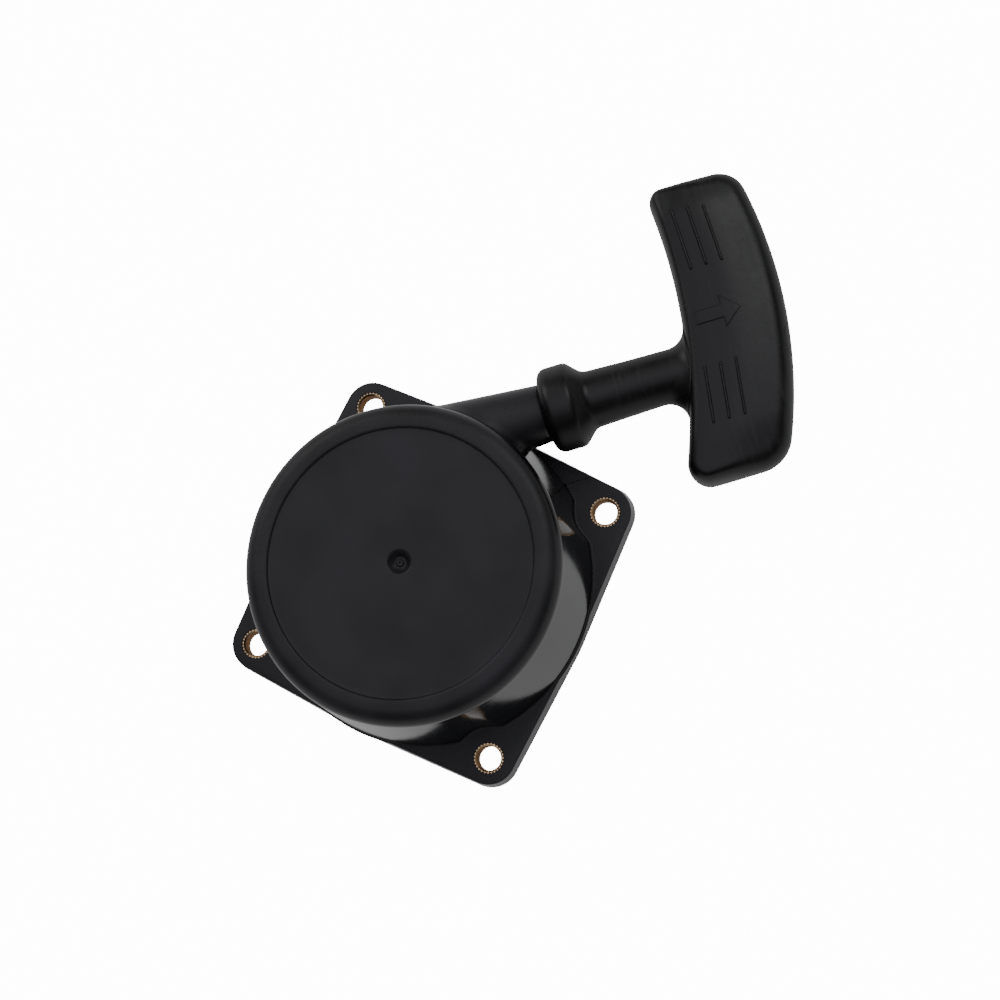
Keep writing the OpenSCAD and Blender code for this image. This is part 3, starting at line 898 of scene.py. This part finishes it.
# %% Grip ribs and arrow
def raised_mark(name, ring, lift=0.3, shoulder=0.15, spacing=0.6, smooth=28):
    ring = np.array(evenly(ring, spacing))
    tangent = np.roll(ring, -1, 0) - np.roll(ring, 1, 0)
    inward = np.c_[-tangent[:, 1], tangent[:, 0]] / np.linalg.norm(tangent, axis=1)[:, None]
    count = len(ring)
    flat, _, faces, *_ = delaunay_2d_cdt([Vector(p) for p in ring + inward * shoulder],
                                         [(i, (i + 1) % count) for i in range(count)], [], 1, 1e-5)
    top = [(p.x, p.y, h + lift) for p, h in zip(flat, grip_height([(p.x, p.y) for p in flat]))]
    low = grip_height(ring)
    points = list(top)
    for drop in (lift - shoulder, -0.25):
        points += [(p[0], p[1], h + drop) for p, h in zip(ring, low)]
    first, second = len(top), len(top) + count
    sides = [(i, (i + 1) % count, first + (i + 1) % count, first + i) for i in range(count)]
    sides += [(first + i, first + (i + 1) % count, second + (i + 1) % count, second + i) for i in range(count)]
    mark = piece_of(name, placed(points, along_rope), [tuple(f) for f in faces] + sides)
    shade(mark, smooth)
    dress(mark, "handle", handle_plastic, "handle_moulding")


def rib_outline(start, end, width=0.7):
    yaw = math.degrees(math.atan2(end[1] - start[1], end[0] - start[0]))
    return arc(start, width / 2, yaw + 90, yaw + 270, 6) + arc(end, width / 2, yaw - 90, yaw + 90, 6)


rib_gap = 3.75
ribs = [((83.2 + rib_gap * k, 21.8), (82.5 + rib_gap * k, 36.9 - 0.6 * k)) for k in range(3)]
ribs += [((78.6 + rib_gap * k, -15.4), (80.0 + rib_gap * k, -2.2)) for k in range(3)]
for number, (start, end) in enumerate(ribs, 1):
    raised_mark(f"grip_rib_{number}", rib_outline(start, end), 0.34, 0.24, 0.25, 65)
raised_mark("pull_arrow", [(81, 8), (87.5, 8), (87.5, 5.6), (92, 9.6), (87.5, 13.6), (87.5, 11.2), (81, 11.2)])

# %% [markdown]
# The rope is wound in six turns, nested like stacked pipes. A single path runs round the reel,
# shifts to the next place near the end of each turn, and leaves at the point where the rope
# axis touches the winding. A tube swept along that path is the whole coil.

# %% Wound rope
rope_r = 1.58
exit_yaw = math.atan2(left.y, left.x)
lay = [(20.05, -1.65), (20.05, 1.65), (22.75, 0.0), (25.45, -1.65), (25.45, 1.65), (28.15, 0.0)]


def swept(name, path, radius, sides=14):
    path = [Vector(p) for p in path]
    rings = []
    for i, p in enumerate(path):
        way = (path[min(i + 1, len(path) - 1)] - path[max(i - 1, 0)]).normalized()
        side = way.cross(Vector((0, 0, 1))).normalized()
        up = side.cross(way)
        rings.append([p + radius * (math.cos(a) * side + math.sin(a) * up)
                      for a in (2 * math.pi * k / sides for k in range(sides))])
    return piece_of(name, *lofted(rings))


def wound_path(steps=90, shift=0.12):
    path = []
    for turn in range(len(lay)):
        for k in range(steps):
            share = k / steps
            blend = smooth_step(share, 1 - shift, 1) if turn + 1 < len(lay) else 0.0
            after = lay[min(turn + 1, len(lay) - 1)]
            r = lay[turn][0] + (after[0] - lay[turn][0]) * blend
            z = rope_z + lay[turn][1] + (after[1] - lay[turn][1]) * blend
            a = exit_yaw + 2 * math.pi * (len(lay) - turn - share)
            path.append((r * math.cos(a), r * math.sin(a), z))
    return path + [(lay[-1][0] * math.cos(exit_yaw), lay[-1][0] * math.sin(exit_yaw), rope_z)]


coil = swept("wound_rope", wound_path(), rope_r)
shade(coil, 60)
dress(coil, "reel", rope_braid, "rope", "rope_coil")

# %% [markdown]
# The free run of rope goes from the winding, through the tube and the stem, to its knot. As
# the handle is pulled, more rope comes off the reel. Here the run is one straight piece at its
# rest length, and it is not hung on a body.

# %% Rope run and knot
run_end = 91.0
run_path = [along_rope @ Vector((u, 0, 0)) for u in np.linspace(0.6, run_end, 240)]
run = swept("rope_through_tube", run_path, rope_r, 16)
shade(run, 60)
run.data.materials.append(rope_braid)
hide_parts("rope_run")
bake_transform(run)


def knot_path(centre, size, steps=90):
    """A trefoil, pulled flat, which is how an overhand knot looks when it is tight."""
    path = []
    for k in range(steps):
        t = 2 * math.pi * k / steps
        path.append(centre + size * Vector((0.33 * math.sin(3 * t),
                                            (math.sin(t) + 2 * math.sin(2 * t)) / 3,
                                            (math.cos(t) - 2 * math.cos(2 * t)) / 3)))
    return path + path[:1]


knot = swept("tight_knot", [along_rope @ p for p in knot_path(Vector((92.6, 0, 0)), 2.7)], 1.4, 10)
shade(knot, 60)
dress(knot, "pull_rope", rope_braid, "rope", "rope_knot")
print("free rope is", round(run_end - 0.6, 1), "mm long at rest")


# %% [markdown]
# The recoil spring is a long flat strip, wound loosely by its hub and tightly against the wall
# of its well. Its radius grows with its length in two stretches, and a quad strip follows it.
# Its inner hook turns with the reel and the coil stays with the housing, so the strip is made
# as two pieces that meet at the hub.


# %% Recoil spring
spring_low, spring_high = (corner.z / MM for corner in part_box("recoil_spring"))
spring_turns, strip_t = 13.5, 0.45


def coil_radius(s):
    return 9.5 + 11.5 * s / 0.25 if s < 0.25 else 21 + 9.6 * (s - 0.25) / 0.75


strip_steps = 1000
inner_yaw = math.radians(15 - 360 * spring_turns)
outer_yaw = inner_yaw + 2 * math.pi * spring_turns


def strip_along(name, centre):
    """A flat strip on edge, along a path of [radius, angle]."""
    line = np.array([(r * math.cos(a), r * math.sin(a)) for r, a in centre])
    way = np.gradient(line, axis=0)
    side = np.c_[-way[:, 1], way[:, 0]] / np.linalg.norm(way, axis=1)[:, None] * strip_t / 2
    rings = [[(x - dx, y - dy, spring_low), (x + dx, y + dy, spring_low),
              (x + dx, y + dy, spring_high), (x - dx, y - dy, spring_high)]
             for (x, y), (dx, dy) in zip(line, side)]
    strip = piece_of(name, *lofted(rings))
    shade(strip, 40)
    return strip


coil = [(coil_radius(i / strip_steps), inner_yaw + 2 * math.pi * spring_turns * i / strip_steps)
        for i in range(strip_steps + 1)]
outer_hook = [(31.4, outer_yaw + 0.004), (32.1, outer_yaw + 0.004)]
inner_hook = [(7.9, inner_yaw - 0.06), (8.6, inner_yaw - 0.03), (9.45, inner_yaw - 0.002)]
dress(strip_along("recoil_strip", coil + outer_hook), "housing", blued_spring, "spring_steel", "recoil_spring")
dress(strip_along("recoil_strip_hook", inner_hook), "reel", blued_spring, "spring_steel")

# %% [markdown]
# The parts inside were stamped, turned or sintered, and none has a knife edge. Each is copied
# from its exact node, its flat faces are merged, and its edges get a small round, which is
# what catches the light on a real part.


# %% Softened inner parts
def softened(node, name, body, material, slot, width):
    mesh = nodes[node].data.copy()
    b = bmesh.new()
    b.from_mesh(mesh)
    bmesh.ops.remove_doubles(b, verts=b.verts, dist=2e-6)
    bmesh.ops.dissolve_limit(b, angle_limit=math.radians(1), verts=b.verts, edges=b.edges)
    b.to_mesh(mesh)
    b.free()
    piece = bpy.data.objects.new(name, mesh)
    bpy.context.collection.objects.link(piece)
    rounding = piece.modifiers.new("rounding", "BEVEL")
    rounding.width = width * MM
    rounding.segments = 2
    rounding.limit_method = "ANGLE"
    rounding.angle_limit = math.radians(38)
    rounding.use_clamp_overlap = True
    apply_modifiers(piece)
    shade(piece, 32)
    dress(piece, body, material, slot, node)


inner_parts = [
    ("post_insert", "post_sleeve", "housing", insert_brass, "brass", 0.12),
    ("rope_bushing", "rope_eyelet", "housing", bright_steel, "steel", 0.08),
    ("spring_plate", "spring_cover", "housing", zinc_plate, "plated_steel", 0.1),
    ("plate_screw_1", "cover_screw_1", "housing", bright_steel, "steel", 0.05),
    ("plate_screw_2", "cover_screw_2", "housing", bright_steel, "steel", 0.05),
    ("plate_screw_3", "cover_screw_3", "housing", bright_steel, "steel", 0.05),
    ("thrust_washer", "stop_washer", "housing", zinc_plate, "plated_steel", 0.12),
    ("friction_spring", "drag_ring", "housing", blued_spring, "spring_steel", 0.12),
    ("centre_screw", "axle_screw", "housing", bright_steel, "steel", 0.15),
    ("reel", "rope_reel", "reel", reel_plastic, "reel_moulding", 0.25),
    ("reel_bushing", "reel_sleeve", "reel", bearing_bronze, "bronze", 0.15),
    ("coil_knot", "anchor_knot", "reel", rope_braid, "rope", 0.05),
    ("pawl_pin_1", "pivot_pin_1", "reel", bright_steel, "steel", 0.2),
    ("pawl_pin_2", "pivot_pin_2", "reel", bright_steel, "steel", 0.2),
    ("friction_plate", "cam_plate", "friction_plate", zinc_plate, "plated_steel", 0.12),
    ("pawl_1", "sintered_pawl_1", "pawl_1", pawl_steel, "pawl_steel", 0.25),
    ("pawl_2", "sintered_pawl_2", "pawl_2", pawl_steel, "pawl_steel", 0.25),
    ("knot_washer", "rope_washer", "pull_rope", bright_steel, "steel", 0.12)]
for part in inner_parts:
    softened(*part)
